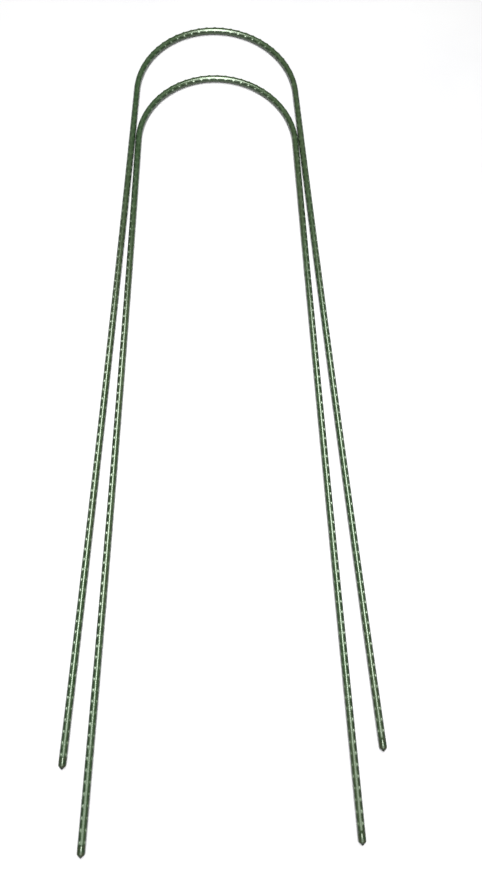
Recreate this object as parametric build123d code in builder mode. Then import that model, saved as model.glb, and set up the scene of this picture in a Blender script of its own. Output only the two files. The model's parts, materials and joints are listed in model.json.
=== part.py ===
from build123d import *
import os
from math import cos, radians, sin, tan

# A pair of loose garden hoops, lying flat on the ground, the front one nested inside the rear one.
# Each hoop is a thin steel tube with a plastic coating, bent to a U, with a pointed cap in each foot.
#
# Millimetres. +Z is up and the ground is Z = 0. +Y runs from the feet to the crowns.
# The origin is on the ground, under the middle of the pair.

# ---- tube -------------------------------------------------------------------------------------
steel_d = 10.2          # over the bare steel
steel_wall = 0.4
coating_wall = 0.4

# ---- end caps ---------------------------------------------------------------------------------
cap_barrel = 12.0       # straight part of the cap, flush with the coating
point_angle = 47.0      # half angle of the point
nose_r = 1.2            # rounding of the tip
seam_r = 0.25           # rounded edge where the cap meets the coating
shoulder_r = 1.0        # rounded edge where the barrel meets the point
spigot_length = 18.0    # plug inside the steel tube
spigot_lead = 0.8       # chamfer that starts the plug in the bore
spigot_gap = 0.05       # radial clearance of the plug in the bore

# ---- rear hoop --------------------------------------------------------------------------------
# A leg leaves the crown at its splay angle, and then bends outwards evenly by its flare angle.
# Leg lengths run along the tube, from the crown to the cap.
rear_crown_r = 145.0    # to the tube's centre line
rear_left_splay = 3.5
rear_left_flare = 0.95
rear_left_leg = 1120.0
rear_right_splay = 3.6
rear_right_flare = 0.9
rear_right_leg = 1109.0

# ---- front hoop -------------------------------------------------------------------------------
# Its crown's radius follows from how it is nested.
front_left_splay = 2.15
front_left_flare = 1.1
front_left_leg = 1120.0
front_right_splay = 2.15
front_right_flare = 0.4
front_right_leg = 1116.0

# ---- nesting ----------------------------------------------------------------------------------
nest_step = 104.4       # from the rear crown's centre to the front crown's, towards the feet
nest_side = 0.2         # the front hoop lies this far to the right
nest_gap = 0.4          # between the two coatings where the front crown meets a rear leg

steel_r = steel_d / 2
tube_r = steel_r + coating_wall
bore_r = steel_r - steel_wall
spigot_r = bore_r - spigot_gap

# The point runs in at its half angle until it meets the round nose.
point_run = (tube_r - nose_r * cos(radians(point_angle))) / tan(radians(point_angle))
nose_contact = cap_barrel + point_run
nose_centre = nose_contact - nose_r * sin(radians(point_angle))
cap_length = nose_centre + nose_r


def hoop_line(centre, crown_r, left, right):
    """The centre line of one hoop's tube, from the right foot's cap to the left foot's."""
    left_splay, left_flare, left_leg = left
    right_splay, right_flare, right_leg = right
    with BuildLine(Plane.XY.offset(tube_r)) as line:
        crown = CenterArc(centre, crown_r, right_splay, 180 - right_splay - left_splay)
        JernArc(crown @ 0, crown % 0 * -1, right_leg / radians(right_flare), right_flare)
        JernArc(crown @ 1, crown % 1, left_leg / radians(left_flare), -left_flare)
    return line.wire()


def foot_planes(line):
    """The planes of a hoop's left and right tube ends, each with its Z along the tube and out."""
    ends = [(line @ 0, line % 0 * -1), (line @ 1, line % 1)]
    ends.sort(key=lambda end: end[0].X)
    return [Plane(origin=point, x_dir=(0, 0, 1), z_dir=outward) for point, outward in ends]


def tube(line, outer_r, inner_r):
    """A round tube along a centre line."""
    with BuildPart() as made:
        with BuildSketch(Plane(origin=line @ 0, x_dir=(0, 0, 1), z_dir=line % 0)):
            Circle(outer_r)
            Circle(inner_r, mode=Mode.SUBTRACT)
        sweep(path=line)
    return made


def end_cap(foot):
    """A pointed cap whose barrel is flush with the coating and whose plug fills the tube's bore."""
    axis = Axis(foot.origin, foot.z_dir)
    with BuildPart() as cap:
        with BuildSketch(Plane(origin=foot.origin, x_dir=foot.z_dir, z_dir=foot.y_dir)):
            with BuildLine():
                outline = Polyline(
                    (-spigot_length, 0),
                    (-spigot_length, spigot_r - spigot_lead),
                    (spigot_lead - spigot_length, spigot_r),
                    (0, spigot_r),
                    (0, tube_r),
                    (cap_barrel, tube_r),
                    (nose_contact, nose_r * cos(radians(point_angle))),
                )
                nose = RadiusArc(outline @ 1, (cap_length, 0), nose_r)
                Line(nose @ 1, outline @ 0)
            make_face()
        revolve(axis=axis)
        seam = cap.edges().filter_by(GeomType.CIRCLE).group_by(SortBy.RADIUS)[-1].sort_by(axis)[0]
        fillet(seam, seam_r)
        shoulder = cap.edges().filter_by(GeomType.CIRCLE).group_by(SortBy.RADIUS)[-1].sort_by(axis)[-1]
        fillet(shoulder, shoulder_r)
    return cap


# ---- layout -----------------------------------------------------------------------------------
rear_line = hoop_line(
    (0, 0),
    rear_crown_r,
    (rear_left_splay, rear_left_flare, rear_left_leg),
    (rear_right_splay, rear_right_flare, rear_right_leg),
)
front_centre = (nest_side, -nest_step)
front_crown_r = rear_line.distance_to(Vertex(*front_centre, tube_r)) - 2 * tube_r - nest_gap
front_line = hoop_line(
    front_centre,
    front_crown_r,
    (front_left_splay, front_left_flare, front_left_leg),
    (front_right_splay, front_right_flare, front_right_leg),
)

feet = foot_planes(rear_line) + foot_planes(front_line)
tips = [foot.origin + foot.z_dir * cap_length for foot in feet]
widest = [foot.origin + foot.z_dir * cap_barrel for foot in feet]
middle_x = (min(point.X for point in widest) + max(point.X for point in widest)) / 2
middle_y = (min(point.Y for point in tips) + rear_crown_r + tube_r) / 2
to_middle = Location((-middle_x, -middle_y, 0))

# ---- pieces -----------------------------------------------------------------------------------
os.makedirs("parts", exist_ok=True)

for hoop, line in {"rear": rear_line, "front": front_line}.items():
    placed_line = line.moved(to_middle)
    left_foot, right_foot = foot_planes(placed_line)
    pieces = {
        f"{hoop}_steel_tube": tube(placed_line, steel_r, bore_r),
        f"{hoop}_plastic_coating": tube(placed_line, tube_r, steel_r),
        f"{hoop}_left_end_cap": end_cap(left_foot),
        f"{hoop}_right_end_cap": end_cap(right_foot),
    }
    for name, piece in pieces.items():
        piece.part.label = name
        export_step(piece.part, f"parts/{name}.step")
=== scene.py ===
# %% [markdown]
# # A pair of plastic-coated garden hoops
#
# Each hoop is one thin steel tube, bent to a U and drawn inside a tight sleeve of green polyethylene.
# The sleeve has four rows of small nubs, which stop ties and clips from sliding, and a pointed plastic
# cap is plugged into each foot so that it can be pushed into the soil. The two hoops lie flat on the
# ground, loose, with the front one nested inside the rear one.
#
# The CAD model already fixes every size and place. We load it first, and it stays where it is.
# Everything below is in metres, with +Z up and +Y from the feet to the crowns.

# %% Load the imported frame
import json
from math import atan2, cos, pi, radians, sin, tan

import bmesh
import bpy
from mathutils import Euler, Matrix, Vector


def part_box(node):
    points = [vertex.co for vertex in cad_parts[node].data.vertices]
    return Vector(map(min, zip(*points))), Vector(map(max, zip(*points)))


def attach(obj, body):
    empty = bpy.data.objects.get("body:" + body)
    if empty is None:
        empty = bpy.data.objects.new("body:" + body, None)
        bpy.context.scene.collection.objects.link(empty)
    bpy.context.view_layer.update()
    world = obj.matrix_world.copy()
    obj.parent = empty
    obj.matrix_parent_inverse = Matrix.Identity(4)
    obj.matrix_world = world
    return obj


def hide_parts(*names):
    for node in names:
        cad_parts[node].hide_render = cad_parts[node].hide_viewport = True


with open("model.json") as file:
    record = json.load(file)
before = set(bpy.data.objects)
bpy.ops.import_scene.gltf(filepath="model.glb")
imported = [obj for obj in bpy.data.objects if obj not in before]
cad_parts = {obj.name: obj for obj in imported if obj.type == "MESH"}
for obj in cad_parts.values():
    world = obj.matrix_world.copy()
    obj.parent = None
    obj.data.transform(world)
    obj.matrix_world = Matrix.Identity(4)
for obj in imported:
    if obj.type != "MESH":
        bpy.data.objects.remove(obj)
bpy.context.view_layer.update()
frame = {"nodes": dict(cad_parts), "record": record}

hoops = ("rear", "front")
sides = ("left", "right")

# %% [markdown]
# ## The camera
#
# A long, narrow object on the floor is looked at from above. The eye is over the lower half of the
# hoops, a little to the left, and looks down and forwards, so the feet are nearer than the crowns and
# look further apart than they are. The camera could be aimed with a Track To constraint, but then it
# couldn't lean. A camera that has not been turned looks straight down, so a tilt about X lifts its
# view towards the crowns, and the small turns about Y and Z are the lean of a hand-held camera.
# Euler order ZYX applies the roll first and the tilt last.

# %% Camera
eye = Vector((-0.0255, -0.4200, 1.0747))
eye_tilt = 16.01
eye_lean = -2.93
eye_roll = -0.30
lens_mm = 29.0
sensor_mm = 36.0

camera_data = bpy.data.cameras.new("camera")
camera_data.sensor_width = sensor_mm
camera_data.lens = lens_mm
camera = bpy.data.objects.new("camera", camera_data)
camera.location = eye
camera.rotation_euler = Euler((radians(eye_tilt), radians(eye_lean), radians(eye_roll)), "ZYX")
camera.rotation_mode = "ZYX"
bpy.context.scene.collection.objects.link(camera)
bpy.context.scene.camera = camera
print("camera", round(eye.z, 3), "m above the ground")

# %% [markdown]
# ## The line of each hoop
#
# Both hoops are made of three arcs that run smoothly into each other: the crown, which is half a
# circle less the splay of the legs, and two legs, which look straight but spring outwards a little
# towards their feet. A curve object could follow that line too, but the sleeve and the caps have to
# share it exactly, and lie where the CAD tubes do, so we write the same three arcs as a function. It
# takes a distance along the tube from the left foot's seam, and returns the point there and the
# direction that points out of the hoop.

# %% Sizes of the hoops
tube_r = 0.0055
steel_r = 0.0051

# The rear crown's radius is chosen, and the front one's follows from how it is nested in the CAD.
crown_r = {"rear": 0.145, "front": 0.1400325}
splay = {"rear": {"left": 3.5, "right": 3.6}, "front": {"left": 2.15, "right": 2.15}}
flare = {"rear": {"left": 0.95, "right": 0.9}, "front": {"left": 1.1, "right": 0.4}}
leg = {"rear": {"left": 1.120, "right": 1.109}, "front": {"left": 1.120, "right": 1.116}}
print("tube", round(tube_r * 2000, 1), "mm over its skin, sleeve wall",
      round((tube_r - steel_r) * 1000, 1), "mm")


# %% The three arcs
def crown_turn(hoop):
    """The angle that the crown's arc turns through."""
    return radians(180 - splay[hoop]["left"] - splay[hoop]["right"])


def tube_length(hoop):
    """The length of a hoop's tube, from seam to seam."""
    return leg[hoop]["left"] + crown_r[hoop] * crown_turn(hoop) + leg[hoop]["right"]


def leg_point(hoop, side, distance):
    """A leg's centre line, so far from the crown, and its outward direction. The crown's centre is 0."""
    out = -1 if side == "left" else 1
    start = radians(splay[hoop][side])
    bend_r = leg[hoop][side] / radians(flare[hoop][side])
    heading = start + distance / bend_r
    x = crown_r[hoop] * cos(start) - bend_r * (cos(heading) - cos(start))
    y = crown_r[hoop] * sin(start) - bend_r * (sin(heading) - sin(start))
    return Vector((out * x, y, 0)), Vector((out * cos(heading), sin(heading), 0))


def line_at(hoop, distance):
    """A point of a hoop's centre line and its outward direction. The crown's centre is 0."""
    crown_starts = leg[hoop]["left"]
    crown_ends = crown_starts + crown_r[hoop] * crown_turn(hoop)
    if distance < crown_starts:
        return leg_point(hoop, "left", crown_starts - distance)
    if distance > crown_ends:
        return leg_point(hoop, "right", distance - crown_ends)
    angle = pi - radians(splay[hoop]["left"]) - (distance - crown_starts) / crown_r[hoop]
    outward = Vector((cos(angle), sin(angle), 0))
    return outward * crown_r[hoop], outward


# %% Place the lines by the frame
def mount(name):
    """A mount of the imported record, by its name."""
    return next(m for m in frame["record"]["mounts"] if m["name"] == name)


crown_centre = {}
for hoop in hoops:
    low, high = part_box(f"{hoop}_plastic_coating")
    foot = mount(f"{hoop}_left_foot")
    foot_out = Vector(foot["axis"])
    # The mount is at the cap's shoulder end, so its axis leads back along the cap to the seam.
    seam_x, seam_y, _ = line_at(hoop, 0)[0]
    centre_y = high.y - crown_r[hoop] - tube_r
    reach = (foot["pos_m"][1] - centre_y - seam_y) / foot_out.y
    centre_x = foot["pos_m"][0] - reach * foot_out.x - seam_x
    crown_centre[hoop] = Vector((centre_x, centre_y, (low.z + high.z) / 2))
    right_foot = mount(f"{hoop}_right_foot")
    right_seam = crown_centre[hoop] + line_at(hoop, tube_length(hoop))[0]
    cad_seam = Vector(right_foot["pos_m"]) - Vector(right_foot["axis"]) * reach
    print(hoop, "tube", round(tube_length(hoop), 4), "m, right seam misses the CAD by",
          round((right_seam - cad_seam).length * 1000, 3), "mm")

# %% [markdown]
# ## Shader maths
#
# A material could be wired up node by node, but its sums are easier to read as Python. A `Wire` holds
# one output socket of a node tree, and arithmetic on wires adds Math nodes. Everything else, such as
# a texture, a mix of colours or the shader itself, is added by one method, `node`. Clouds of noise
# become masks with `between`, and a mask times a share says how much of a colour is mixed in.

# %% The Wire class
class Wire:
    """An output socket in a shader tree, on which Python arithmetic can be done."""

    def __init__(self, tree, socket=None):
        self.tree = tree
        self.socket = socket

    def node(self, kind, settings=None, inputs=None, output=0):
        """Adds a node: first its settings, then the values or links of its sockets."""
        made = self.tree.nodes.new(kind)
        for name, value in (settings or {}).items():
            setattr(made, name, value)
        for name, value in (inputs or {}).items():
            if isinstance(value, Wire):
                self.tree.links.new(value.socket, made.inputs[name])
            else:
                made.inputs[name].default_value = value
        return None if output is None else Wire(self.tree, made.outputs[output])

    def math(self, operation, *values):
        """A Math node on these values, in their order."""
        return self.node("ShaderNodeMath", {"operation": operation}, dict(enumerate(values)))

    def __add__(self, other):
        return self.math("ADD", self, other)

    def __sub__(self, other):
        return self.math("SUBTRACT", self, other)

    def __rsub__(self, other):
        return self.math("SUBTRACT", other, self)

    def __mul__(self, other):
        return self.math("MULTIPLY", self, other)

    __radd__ = __add__
    __rmul__ = __mul__

    def between(self, low, high):
        """0 where the value is at or under low, 1 at or over high, and smooth between."""
        inputs = {"Value": self, "From Min": low, "From Max": high}
        return self.node("ShaderNodeMapRange", {"interpolation_type": "SMOOTHSTEP"}, inputs)

    def mix(self, first, second):
        """The first colour where this value is 0, and the second where it is 1."""
        # A Mix node's sockets share their names, so its colours are found by number.
        settings = {"data_type": "RGBA"}
        return self.node("ShaderNodeMix", settings, {"Factor": self, 6: first, 7: second}, output=2)

    def scaled(self, *factors):
        """This vector, times a factor along each axis."""
        return self.node("ShaderNodeVectorMath", {"operation": "MULTIPLY"}, {0: self, 1: factors})

    def size(self):
        """This value without its sign."""
        return self.math("ABSOLUTE", self)

    def along(self, axis):
        """How far this vector goes along X, Y or Z."""
        return self.node("ShaderNodeSeparateXYZ", inputs={"Vector": self}, output=axis)

    def noise(self, scale, detail=3.0, roughness=0.5):
        """Soft clouds, about 0.5, on this vector."""
        inputs = {"Vector": self, "Scale": scale, "Detail": detail, "Roughness": roughness}
        return self.node("ShaderNodeTexNoise", inputs=inputs)


# %% Starting and ending a material
def new_material(name):
    """A material with an empty tree, and a Wire to start writing it with."""
    material = bpy.data.materials.new(name)
    material.use_nodes = True
    material.node_tree.nodes.clear()
    return material, Wire(material.node_tree)


def stored(start, name, kind):
    """An attribute of the mesh: Vector for a place, or Fac for a share from 0 to 1."""
    return start.node("ShaderNodeAttribute", {"attribute_name": name}, output=kind)


def relief(start, height, strength):
    """The Normal of a surface on which a height of 1 is a tenth of a millimetre."""
    inputs = {"Height": height, "Strength": strength, "Distance": 0.0001}
    return start.node("ShaderNodeBump", inputs=inputs)


def surface(material, start, inputs):
    """Ends a material's tree with a Principled shader, and says how large the tree is."""
    shader = start.node("ShaderNodeBsdfPrincipled", inputs=inputs)
    start.node("ShaderNodeOutputMaterial", inputs={"Surface": shader}, output=None)
    print("material", material.name, "with", len(material.node_tree.nodes), "nodes")

# %% [markdown]
# ## The sleeve's plastic
#
# The extruded polyethylene is a deep, uneven green with a clear gloss. Its pigment is drawn out into
# faint streaks along the tube, and the die leaves fine lines in the same direction. The nubs are
# rolled in while the plastic is warm. Their tops are painted paler, partly as wear and partly as a
# painted highlight, and fine dust stays in the corners round them. The low places between one nub and
# the next in its row are painted near-black, as painted shade. The gloss is tinted, because part of
# what a coloured plastic sends back has been just under its skin.
# The streaks have to follow the tube round its bend. A UV map could do that, but it has no true
# scale, so the material reads an attribute that we store on the mesh: where each point was while the
# sleeve was still straight, in metres.

# %% Sleeve material
leaf_green = (0.007, 0.022, 0.005, 1)
grey_green = (0.014, 0.028, 0.011, 1)
olive_green = (0.020, 0.027, 0.011, 1)
# Paler green for rubbed blotches, and on the nub tops for a painted highlight.
rubbed_and_highlight_green = (0.086, 0.134, 0.070, 1)
# Near-black green painted between the nubs in each row: painted shade.
gap_shade_green = (0.004, 0.008, 0.004, 1)
dust_grey = (0.13, 0.15, 0.11, 1)
specular_green = (0.84, 1.0, 0.79, 1)


def sleeve_plastic():
    """The sleeve's green polyethylene, which reads the places and shares stored on the sleeve."""
    material, start = new_material("green_polyethylene")
    straight = stored(start, "straight", "Vector")
    nub = stored(start, "nub", "Fac")
    gap = stored(start, "gap", "Fac")

    # Noise with fewer waves along the tube than round it is drawn out into streaks.
    streaks = straight.scaled(14, 420, 420).noise(1.0, detail=4).between(0.35, 0.65)
    drift = straight.scaled(2.2, 20, 20).noise(1.0, detail=2).between(0.4, 0.62)
    blotches = straight.noise(160, detail=4, roughness=0.6).between(0.42, 0.7)
    scuffs = straight.scaled(60, 900, 900).noise(1.0, detail=5, roughness=0.7).between(0.62, 0.72)
    top = nub.between(0.55, 1.0)
    foot_of_nub = nub.between(0.02, 0.2) * (1 - nub.between(0.2, 0.45))

    green = streaks.mix(leaf_green, grey_green)
    green = (drift * 0.55).mix(green, olive_green)
    green = (blotches * 0.16).mix(green, rubbed_and_highlight_green)
    green = (scuffs * 0.20).mix(green, dust_grey)
    green = (foot_of_nub * blotches * 0.25).mix(green, dust_grey)
    # Painted shade: the low places between the nubs in a row are painted near-black.
    green = (gap * (0.95 - blotches * 0.15)).mix(green, gap_shade_green)
    # Painted highlight, partly wear: the nub tops are painted paler.
    green = (top * 0.65).mix(green, rubbed_and_highlight_green)

    die_lines = straight.scaled(4, 2600, 2600).noise(1.0, detail=2)
    grain = straight.noise(2200, detail=2)
    height = die_lines * 0.6 + grain * 0.4 + scuffs * 0.3
    surface(material, start, {
        "Base Color": green,
        "Roughness": 0.20 + blotches * 0.05 + scuffs * 0.15 + gap * 0.12 + top * 0.06,
        "Normal": relief(start, height, 0.10),
        "IOR": 1.58,
        "Specular Tint": specular_green,
    })
    return material


sleeve_material = sleeve_plastic()

# %% [markdown]
# ## One pitch of the sleeve
#
# The nubs repeat every 15 mm or so, for the whole length of the hoop. They could be loose bumps set on
# a plain sleeve, but then each would have an edge where it sits, and on the real sleeve they grow out
# of the skin. So we model one pitch of straight sleeve with its nubs, and let an Array modifier
# repeat it. A ring of points is spun round the axis, with close steps where a row of nubs runs and
# wide steps between the rows, and is then extruded along the axis in the same uneven way. A nub is
# raised by moving its points outwards, by a height that fades to nothing at its rim. The four rows
# are in step. The tube was bent with them a little turned: one row is near the top, towards the
# outside of the hoop, and the next is lower down on the inside.

# %% Sizes of the nubs
nub_rows = 4
nub_long = 0.0064
nub_wide = 0.0026
nub_high = 0.0009
nub_pitch = 0.0148
first_row = 57.0                # degrees up from the outside of the hoop
nub_peak = 1.2                  # a power that makes a nub more peaked than a cosine
gap_shade_spread = 0.5              # a power that makes the painted shade between the nubs wider than the nubs
steps_along_nub = 8
steps_between_nubs = 2
steps_across_nub = 6
steps_between_rows = 4
doubles_within = 1e-6
pitches_join_within = 1e-5
print(nub_rows, "rows of nubs,", round(nub_long * 1000, 1), "x", round(nub_wide * 1000, 1), "mm and",
      round(nub_high * 1000, 1), "mm high")


# %% Height of a nub
def fade(share):
    """1 at the middle of a nub and 0 at its rim, where share is 1."""
    return cos(min(abs(share), 1) * pi / 2) ** nub_peak


def nub_shares(point):
    """For a point of one pitch of sleeve, how far up a nub it is, and how deep between two, 0 to 1."""
    row_gap = 2 * pi / nub_rows
    turned = (atan2(point.z, point.y) - radians(first_row)) % row_gap
    from_row = min(turned, row_gap - turned) * tube_r
    across = fade(from_row / (nub_wide / 2))
    along = fade((point.x - nub_long / 2) / (nub_long / 2))
    return across * along, across ** gap_shade_spread * (1 - along)


# %% One pitch
def spun_ring(bm, radius):
    """The edges of a ring round the X axis, with points close together over each row of nubs."""
    across_angle = nub_wide / tube_r
    first_angle = radians(first_row) - across_angle / 2
    last = bm.verts.new((0, radius * cos(first_angle), radius * sin(first_angle)))
    between_angle = 2 * pi / nub_rows - across_angle
    for _ in range(nub_rows):
        for angle, steps in ((across_angle, steps_across_nub), (between_angle, steps_between_rows)):
            made = bmesh.ops.spin(
                bm, geom=[last], cent=(0, 0, 0), axis=(1, 0, 0), angle=angle, steps=steps
            )
            last = made["geom_last"][0]
    bmesh.ops.remove_doubles(bm, verts=bm.verts, dist=doubles_within)
    return bm.edges[:]


def extruded(bm, ring, lengths):
    """Carries a ring of edges along X by each length in turn."""
    for length in lengths:
        made = bmesh.ops.extrude_edge_only(bm, edges=ring)["geom"]
        verts = [item for item in made if isinstance(item, bmesh.types.BMVert)]
        bmesh.ops.translate(bm, verts=verts, vec=(length, 0, 0))
        ring = [item for item in made if isinstance(item, bmesh.types.BMEdge)]


def sleeve_pitch(pitch, raised):
    """One pitch of straight skin, either the outside with its nubs or the plain bore."""
    bm = bmesh.new()
    if raised:
        along_nub = [nub_long / steps_along_nub] * steps_along_nub
        to_next = [(pitch - nub_long) / steps_between_nubs] * steps_between_nubs
        extruded(bm, spun_ring(bm, tube_r), along_nub + to_next)
    else:
        extruded(bm, spun_ring(bm, steel_r), [pitch / 2] * 2)
        bmesh.ops.reverse_faces(bm, faces=bm.faces)
    nub = bm.verts.layers.float.new("nub")
    gap = bm.verts.layers.float.new("gap")
    if raised:
        for vert in bm.verts:
            vert[nub], vert[gap] = nub_shares(vert.co)
            outward = Vector((0, vert.co.y, vert.co.z)).normalized()
            vert.co += outward * nub_high * vert[nub]
    mesh = bpy.data.meshes.new("sleeve_pitch")
    bm.to_mesh(mesh)
    bm.free()
    return mesh


# %% Repeat the pitch
def repeated(mesh, pitch, count):
    """A mesh, repeated along X with an Array modifier that is then applied."""
    piece = bpy.data.objects.new("repeated", mesh)
    bpy.context.scene.collection.objects.link(piece)
    array = piece.modifiers.new("pitches", "ARRAY")
    array.count = count
    array.use_relative_offset = False
    array.use_constant_offset = True
    array.constant_offset_displace = (pitch, 0, 0)
    array.use_merge_vertices = True
    array.merge_threshold = pitches_join_within
    evaluated = piece.evaluated_get(bpy.context.evaluated_depsgraph_get())
    made = bpy.data.meshes.new_from_object(evaluated)
    bpy.data.objects.remove(piece)
    return made


# %% [markdown]
# ## Bending the sleeve
#
# The outside and the bore are repeated apart, bridged at both ends into one closed wall, and then
# bent on to the hoop's line. A Curve modifier could bend them, but it might twist them on the way. For
# each point, its X is how far along the tube it is, its Y is how far outwards, and its Z is how far
# up, so the bend is one line of vector sums. The straight place is stored first, for the material.

# %% Objects
def finished(bm, name, material):
    """Makes an object of a bmesh, at the origin, with one material."""
    mesh = bpy.data.meshes.new(name)
    bm.to_mesh(mesh)
    bm.free()
    mesh.materials.append(material)
    piece = bpy.data.objects.new(name, mesh)
    bpy.context.scene.collection.objects.link(piece)
    return piece


# %% Sleeves
def sleeve(hoop):
    """The coating of one hoop: a closed wall with nubs, bent to the hoop's line."""
    length = tube_length(hoop)
    count = round(length / nub_pitch)
    pitch = length / count
    bm = bmesh.new()
    for raised in (True, False):
        bm.from_mesh(repeated(sleeve_pitch(pitch, raised), pitch, count))
    ends = [edge for edge in bm.edges if edge.is_boundary]
    for end_x in (0, length):
        rings = [edge for edge in ends if abs(edge.verts[0].co.x - end_x) < pitch / 8]
        bmesh.ops.bridge_loops(bm, edges=rings)
    bmesh.ops.recalc_face_normals(bm, faces=bm.faces)

    straight = bm.verts.layers.float_vector.new("straight")
    centre = crown_centre[hoop]
    for vert in bm.verts:
        vert[straight] = vert.co
        on_line, outward = line_at(hoop, vert.co.x)
        vert.co = centre + on_line + outward * vert.co.y + Vector((0, 0, vert.co.z))
    for face in bm.faces:
        face.smooth = True
    open_edges = sum(not edge.is_manifold for edge in bm.edges)
    print(hoop, "sleeve:", count, "pitches of", round(pitch * 1000, 2), "mm,",
          len(bm.faces), "faces,", open_edges, "open edges, volume",
          round(bm.calc_volume() * 1e6, 2), "cm3")
    piece = finished(bm, f"{hoop}_nubbed_sleeve", sleeve_material)
    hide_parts(f"{hoop}_plastic_coating")
    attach(piece, f"{hoop}_hoop")


for hoop in hoops:
    sleeve(hoop)

# %% [markdown]
# ## The caps' plastic
#
# The caps are injection moulded, in a slightly browner green than the sleeve. They are handled and
# pushed into soil, so the barrel is lightly scratched, and the point is dull, with dark soil spots. The
# point is also painted near-black all over, as painted shade. A fine parting line, where the two halves
# of the mould met, runs along both sides. It could be raised on the mesh, but it is only about 0.2 mm
# wide, so it is drawn in the material. A cap's own places are stored before it is set on its foot, as
# on the sleeve, so the scratches and the line follow its axis.

# %% Sizes of a cap
cap_barrel = 0.0120
point_angle = 47.0
nose_r = 0.0012
seam_bevel = 0.0002071          # how far each rounded edge reaches along its two sides
shoulder_bevel = 0.0008284
plug_long = 0.0180
plug_r = 0.00465
plug_lead = 0.0008
trim_ring_at = 0.0011
trim_ring_wide = 0.0004
trim_ring_deep = 0.00015
parting_wide = 0.00006
steps_round_cap = 48
nose_steps = 5
seam_segments = 3
shoulder_segments = 4
print("cap barrel", round(cap_barrel * 1000, 1), "mm, plug", round(plug_long * 1000, 1), "mm")

# %% Cap material
cap_olive = (0.009, 0.020, 0.008, 1)
cap_brown = (0.021, 0.025, 0.012, 1)
cap_scratch = (0.10, 0.11, 0.08, 1)
# Near-black, for soil spots and for the painted shade on the point.
soil_and_shade_dark = (0.004, 0.004, 0.003, 1)


def cap_plastic():
    """The caps' moulded plastic, which reads the places stored on each cap."""
    material, start = new_material("olive_moulded_cap")
    own = stored(start, "straight", "Vector")

    mottle = own.noise(190, detail=4, roughness=0.6).between(0.38, 0.66)
    scratches = own.scaled(150, 1500, 1500).noise(1.0, detail=4, roughness=0.7).between(0.60, 0.70)
    point = own.along("X").between(cap_barrel * 1.02, cap_barrel * 1.2)
    soil = own.noise(420, detail=5, roughness=0.7).between(0.50, 0.64) * (point * 0.7 + 0.12)
    parting = 1 - own.along("Z").size().between(parting_wide, parting_wide * 3)

    green = mottle.mix(cap_olive, cap_brown)
    green = (scratches * 0.45).mix(green, cap_scratch)
    # Painted shade: the cone of the point is painted near-black.
    green = (point * 0.95).mix(green, soil_and_shade_dark)
    green = (soil * 0.70).mix(green, soil_and_shade_dark)
    green = (parting * 0.18).mix(green, cap_scratch)

    grain = own.noise(2600, detail=2)
    height = grain * 0.35 + parting * 1.2 - scratches * 0.5
    surface(material, start, {
        "Base Color": green,
        "Roughness": 0.17 + mottle * 0.05 + scratches * 0.14 + point * 0.45 + soil * 0.20,
        "Normal": relief(start, height, 0.20),
        "IOR": 1.50,
        "Specular Tint": specular_green,
    })
    return material


cap_material = cap_plastic()

# %% [markdown]
# ## The pointed caps
#
# A cap could be a cylinder and a cone joined together, but it is round about its axis, so it is
# simpler as a spin: half of its outline is drawn in the XY plane, with X along the cap and 0 at the
# seam, and turned once round X. The rounded nose is itself a spin of one point. The two sharp rings,
# at the seam and where the barrel meets the point, are then bevelled. A shallow ring is pressed into
# the barrel beside the seam, where the cap was trimmed. The plug that holds the cap in the tube is
# part of the same moulding, although nobody sees it.

# %% Outline of a cap
def cap_outline(bm):
    """Half of a cap's outline in the XY plane, as a chain of edges from the plug's end to the tip."""
    tilt = radians(point_angle)
    contact_x = cap_barrel + (tube_r - nose_r * cos(tilt)) / tan(tilt)
    nose_x = contact_x - nose_r * sin(tilt)
    corners = [
        (-plug_long, 0),
        (-plug_long, plug_r - plug_lead),
        (plug_lead - plug_long, plug_r),
        (0, plug_r),
        (0, tube_r),
        (trim_ring_at - trim_ring_wide / 2, tube_r),
        (trim_ring_at, tube_r - trim_ring_deep),
        (trim_ring_at + trim_ring_wide / 2, tube_r),
        (cap_barrel, tube_r),
        (contact_x, nose_r * cos(tilt)),
    ]
    verts = [bm.verts.new((x, y, 0)) for x, y in corners]
    for first, second in zip(verts, verts[1:]):
        bm.edges.new((first, second))
    to_axis = tilt - pi / 2
    bmesh.ops.spin(
        bm, geom=[verts[-1]], cent=(nose_x, 0, 0), axis=(0, 0, 1), angle=to_axis, steps=nose_steps
    )
    return nose_x + nose_r


# %% Rounded rings
def ring_edges(bm, x, radius):
    """The edges of the ring of that radius, that far along the cap."""
    found = []
    for edge in bm.edges:
        ends = [(vert.co.x - x, Vector(vert.co.yz).length - radius) for vert in edge.verts]
        if all(abs(value) < doubles_within for end in ends for value in end):
            found.append(edge)
    return found


def rounded(bm, edges, offset, segments):
    """Rounds a ring of edges. The rounding reaches offset along the faces on each side."""
    bmesh.ops.bevel(
        bm, geom=edges, offset=offset, offset_type="OFFSET", segments=segments,
        profile=0.5, affect="EDGES", material=-1, clamp_overlap=True,
    )


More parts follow.
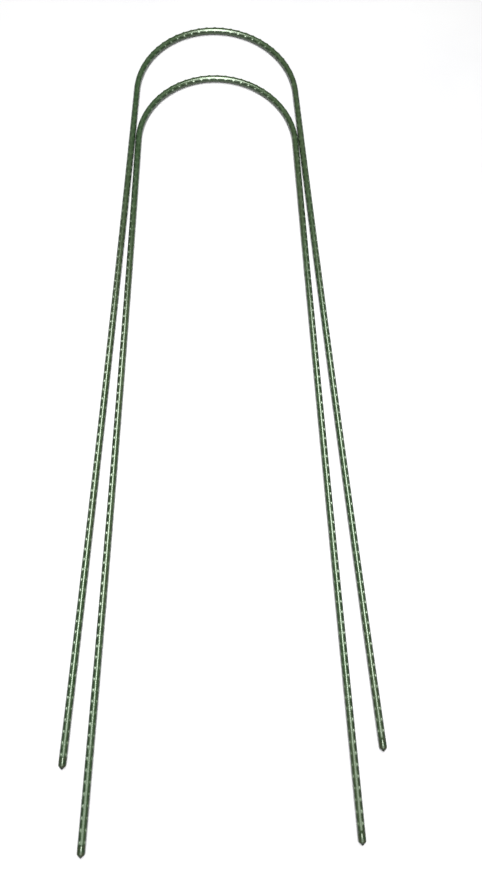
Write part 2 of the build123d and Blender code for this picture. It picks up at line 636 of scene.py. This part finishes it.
# %% Caps
def cap(hoop, side):
    """One foot's cap, turned about its axis and set on the end of the hoop's line."""
    bm = bmesh.new()
    cap_long = cap_outline(bm)
    bmesh.ops.spin(
        bm, geom=bm.verts[:] + bm.edges[:], cent=(0, 0, 0), axis=(1, 0, 0), angle=2 * pi,
        steps=steps_round_cap, use_merge=True,
    )
    bmesh.ops.remove_doubles(bm, verts=bm.verts, dist=doubles_within)
    bmesh.ops.recalc_face_normals(bm, faces=bm.faces)
    rounded(bm, ring_edges(bm, 0, tube_r), seam_bevel, seam_segments)
    rounded(bm, ring_edges(bm, cap_barrel, tube_r), shoulder_bevel, shoulder_segments)
    straight = bm.verts.layers.float_vector.new("straight")
    for vert in bm.verts:
        vert[straight] = vert.co
    for face in bm.faces:
        face.smooth = True

    foot = mount(f"{hoop}_{side}_foot")
    outward = Vector(foot["axis"])
    seam = crown_centre[hoop] + line_at(hoop, 0 if side == "left" else tube_length(hoop))[0]
    turn = Matrix((outward, Vector((0, 0, 1)).cross(outward), (0, 0, 1))).transposed().to_4x4()
    bmesh.ops.transform(bm, matrix=Matrix.Translation(seam) @ turn, verts=bm.verts)
    open_edges = sum(not edge.is_manifold for edge in bm.edges)
    print(hoop, side, "cap:", round(cap_long * 1000, 2), "mm long,", len(bm.faces), "faces,",
          open_edges, "open edges, volume", round(bm.calc_volume(signed=True) * 1e9, 0), "mm3")
    piece = finished(bm, f"{hoop}_{side}_pointed_cap", cap_material)
    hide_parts(f"{hoop}_{side}_end_cap")
    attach(piece, f"{hoop}_hoop")


for hoop in hoops:
    for side in sides:
        cap(hoop, side)

# %% [markdown]
# ## The steel inside
#
# The steel tubes could be swept again here, but the CAD's own meshes are already right, so they stay.
# They are sealed inside the sleeves and are seen only if a sleeve is taken off. They get the finish
# of drawn tube: bright metal, with a fine grain along it and faint darker bands. The CAD's meshes
# have no stored straight place, so the grain reads Object coordinates, stretched along Y, which is
# nearly the way that the legs run.

# %% Steel material
bright_steel = (0.60, 0.60, 0.59, 1)
dark_steel = (0.42, 0.42, 0.42, 1)


def drawn_steel():
    """The bare metal of the tubes inside the sleeves."""
    material, start = new_material("drawn_steel_tube")
    place = start.node("ShaderNodeTexCoord", output="Object")
    grain = place.scaled(2400, 60, 2400).noise(1.0, detail=3)
    bands = place.noise(24, detail=3).between(0.38, 0.64)
    surface(material, start, {
        "Base Color": (bands * 0.5 + grain * 0.3).mix(bright_steel, dark_steel),
        "Metallic": 1.0,
        "Roughness": 0.26 + grain * 0.16 + bands * 0.06,
        "Normal": relief(start, grain, 0.2),
    })
    return material


steel_material = drawn_steel()
for hoop in hoops:
    tube_mesh = frame["nodes"][f"{hoop}_steel_tube"].data
    tube_mesh.materials.clear()
    tube_mesh.materials.append(steel_material)

# %% [markdown]
# ## The floor
#
# The hoops lie on a plain, pale floor, which shows each tube's soft contact shadow. The floor is a
# light grey under strong lamps. A white floor under weaker lamps would look the same, but the lamps'
# reflections along the green tubes would be too faint.

# %% Floor
floor_grey = (0.365, 0.365, 0.37, 1)
floor_pale = (0.385, 0.385, 0.385, 1)
floor_half_side = 12.0


def pale_floor():
    """A large flat floor at the height of the ground, with a faint unevenness."""
    material, start = new_material("pale_floor")
    cloud = start.node("ShaderNodeTexCoord", output="Object").noise(3.0, detail=3).between(0.3, 0.7)
    surface(material, start, {
        "Base Color": cloud.mix(floor_grey, floor_pale),
        "Roughness": 0.45 + cloud * 0.06,
        "IOR": 1.45,
    })
    bm = bmesh.new()
    bmesh.ops.create_grid(bm, x_segments=2, y_segments=2, size=floor_half_side)
    finished(bm, "floor", material)


pale_floor()

# %% [markdown]
# ## Light and background
#
# A long, soft lamp hangs over the crowns' half of the hoops, and draws the bright line along the top
# of each tube. A second hangs in front of the feet, and evens out the floor there. A third, smaller
# one stands lower and further forward, and picks out the nubs and the caps. One dome of even light
# would be simpler, but a glossy tube mirrors whatever is round it, and its flanks have to fall to a
# deep green on both sides of the bright line. So the room itself is dim, darkest at the walls and a
# little brighter overhead.

# %% Lamps
def lamp(name, place, aim, size, watts):
    """A rectangular soft lamp at a place, turned to face a point."""
    data = bpy.data.lights.new(name, "AREA")
    data.shape = "RECTANGLE"
    data.size, data.size_y = size
    data.energy = watts
    made = bpy.data.objects.new(name, data)
    made.location = place
    made.rotation_euler = (Vector(place) - Vector(aim)).to_track_quat("Z", "Y").to_euler()
    bpy.context.scene.collection.objects.link(made)
    print("lamp", name, size, "m,", watts, "W")


lamp("overhead", place=(0.0, 0.23, 2.2), aim=(0.0, 0.23, 0.0), size=(0.70, 1.9), watts=128)
lamp("over_feet", place=(0.0, -1.3, 2.2), aim=(0.0, -1.3, 0.0), size=(2.4, 1.1), watts=36)
lamp("low_front", place=(0.0, -2.3, 2.0), aim=(0.0, -0.7, 0.0), size=(0.6, 0.5), watts=8)

# %% Room
wall_grey = (0.13, 0.13, 0.13, 1)
ceiling_grey = (0.40, 0.40, 0.40, 1)


def dim_room():
    """A plain room, as a world that is a little brighter overhead than at the walls."""
    world = bpy.data.worlds.new("room")
    world.use_nodes = True
    world.node_tree.nodes.clear()
    start = Wire(world.node_tree)
    up = start.node("ShaderNodeTexCoord", output="Generated").along("Z")
    grey = up.between(0.0, 0.9).mix(wall_grey, ceiling_grey)
    background = start.node("ShaderNodeBackground", inputs={"Color": grey})
    start.node("ShaderNodeOutputWorld", inputs={"Surface": background}, output=None)
    bpy.context.scene.world = world
    print("room with", len(world.node_tree.nodes), "nodes")


dim_room()
bpy.context.scene.view_settings.view_transform = "Standard"
